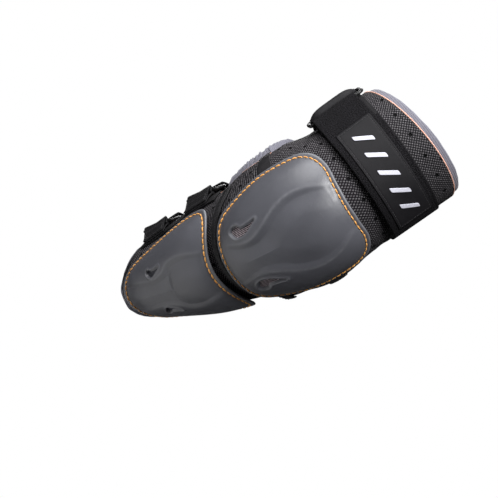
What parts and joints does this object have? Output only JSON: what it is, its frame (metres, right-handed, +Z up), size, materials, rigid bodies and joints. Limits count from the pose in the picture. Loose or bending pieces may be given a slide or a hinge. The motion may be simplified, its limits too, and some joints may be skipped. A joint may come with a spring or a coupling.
{
  "type": "elbow and forearm guard",
  "caption": "Soft elbow and forearm guard with two moulded caps, a wide folded upper-arm strap with a label tab and narrow forearm straps.",
  "frame": {"origin": "the elbow's centre, on the arm's centre line halfway between the guard's two flex creases", "axes": "+X across the elbow towards the body, +Z up the upper arm, -Y towards the outer side that the caps cover"},
  "size_m": [0.1137, 0.1758, 0.2646],
  "materials": {
    "mesh": "punched air mesh, black with light dots",
    "stretch_mesh": "stretch air mesh",
    "liner": "brushed blue-grey liner",
    "edge_thread": "coral overlock thread",
    "loop_pile": "loop pile",
    "hook_tape": "hook tape",
    "label_cloth": "smooth woven label",
    "print": "raised pale print",
    "foam": "closed-cell foam",
    "cap_plastic": "satin moulded rubberised plastic",
    "gold_thread": "golden orange thread",
    "binding_tape": "folded binding tape",
    "ring_plastic": "black moulded ring",
    "webbing": "woven webbing"
  },
  "bodies": {
    "upper": {"upper_shell": "mesh", "upper_liner": "liner", "upper_edge_seam": "edge_thread", "upper_strap": "webbing", "upper_anchor_strap": "webbing", "upper_strap_ring": "ring_plastic", "loop_field": "loop_pile", "label_fold": "webbing", "upper_gusset": "stretch_mesh"},
    "label": {"label_tab": "webbing", "hook_patch": "hook_tape", "label_patch": "label_cloth", "label_mark": "print"},
    "elbow": {"elbow_panel": "mesh", "elbow_liner": "liner", "elbow_pad": "foam", "elbow_cap": "cap_plastic", "elbow_cap_stitching": "gold_thread", "seam_tapes": "binding_tape", "crook_edge_seams": "edge_thread", "lower_gusset": "stretch_mesh"},
    "forearm": {"forearm_shell": "mesh", "forearm_liner": "liner", "forearm_pad": "foam", "forearm_cap": "cap_plastic", "forearm_cap_stitching": "gold_thread", "forearm_binding": "binding_tape", "forearm_edge_seam": "edge_thread", "side_webbing": "webbing", "crook_strap_anchor": "webbing", "crook_strap_ring": "ring_plastic", "crook_strap_band": "webbing", "wrist_strap_anchor": "webbing", "wrist_strap_ring": "ring_plastic", "wrist_strap_band": "webbing"},
    "crook_tab": {"crook_strap_tab": "webbing"},
    "wrist_tab": {"wrist_strap_tab": "webbing"}
  },
  "joints": [
    {"name": "elbow_flex_upper", "type": "hinge", "parent": "upper", "child": "elbow", "pos_m": [0, -0.00605, 0.03429], "axis": [1, 0, 0], "range_deg": [-10, 35], "stiffness_Nm_per_rad": 2.5, "deforming": ["upper_gusset"]},
    {"name": "elbow_flex_lower", "type": "hinge", "parent": "elbow", "child": "forearm", "pos_m": [0, 0.01741, -0.03016], "axis": [1, 0, 0], "range_deg": [-10, 35], "stiffness_Nm_per_rad": 2.5, "deforming": ["lower_gusset"]},
    {"name": "label_peel", "type": "hinge", "parent": "upper", "child": "label", "pos_m": [-0.05676, -0.0107, 0.06279], "axis": [0, 0, -1], "range_deg": [0, 75], "deforming": ["label_fold"]},
    {"name": "crook_tab_peel", "type": "hinge", "parent": "forearm", "child": "crook_tab", "pos_m": [-0.04246, 0.06366, -0.04879], "axis": [0, -0.6428, 0.766], "range_deg": [0, 60]},
    {"name": "wrist_tab_peel", "type": "hinge", "parent": "forearm", "child": "wrist_tab", "pos_m": [-0.03467, 0.09499, -0.09169], "axis": [0, -0.6428, 0.766], "range_deg": [0, 60]}
  ],
  "couplings": [
    {"joint": "elbow_flex_lower", "follows": "elbow_flex_upper", "ratio": 1}
  ]
}
